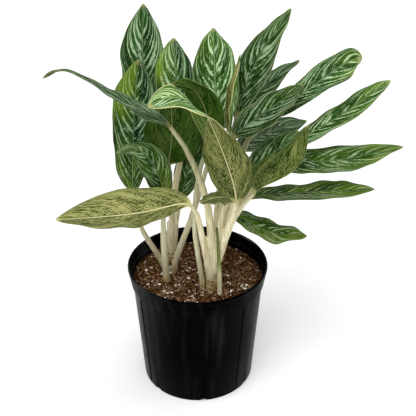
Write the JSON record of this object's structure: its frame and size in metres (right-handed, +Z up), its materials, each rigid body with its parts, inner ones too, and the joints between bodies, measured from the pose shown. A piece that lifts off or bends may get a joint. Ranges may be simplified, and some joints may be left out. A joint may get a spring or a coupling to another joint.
{
  "type": "potted foliage plant",
  "caption": "Leafy foliage plant with pointed patterned blades on cream stalks, standing in soil in a round black nursery pot.",
  "frame": {"origin": "middle of the pot's base, on the plane it stands on", "axes": "+Z up; -Y towards the side the plant is seen from; +X to the right of that view, where the longer leaves reach"},
  "size_m": [0.5923, 0.2763, 0.6862],
  "materials": {
    "pot": "satin black injection-moulded plastic",
    "soil": "loose dark peat with white perlite grains",
    "stem": "smooth cream to pale green living stem",
    "young_leaf": "smooth rolled new leaf",
    "leaf": "satin leaf, dark green with silver feathered stripes above, olive below"
  },
  "bodies": {
    "root": {"pot": "pot", "soil": "soil", "spear": "young_leaf", "left_stems": "stem", "right_stems": "stem", "far_left_stalk": "stem", "near_left_stalk": "stem", "middle_left_stalk": "stem", "middle_stalk": "stem", "upper_left_leaf": "leaf", "left_upright_leaf": "leaf", "long_left_leaf": "leaf", "arching_left_leaf": "leaf", "shaded_left_leaf": "leaf", "low_left_leaf": "leaf", "centre_left_leaf": "leaf", "hidden_back_leaf": "leaf", "centre_leaf": "leaf", "curling_front_leaf": "leaf", "dark_centre_leaf": "leaf", "upper_right_leaf": "leaf", "folded_centre_leaf": "leaf", "back_right_leaf": "leaf", "long_right_leaf": "leaf", "inner_right_leaf": "leaf", "grey_right_leaf": "leaf", "outer_right_leaf": "leaf", "level_right_leaf": "leaf", "low_right_leaf": "leaf", "drooping_right_leaf": "leaf", "front_leaf": "leaf", "front_right_leaf": "leaf", "inner_front_leaf": "leaf", "small_front_leaf": "leaf"}
  },
  "joints": []
}
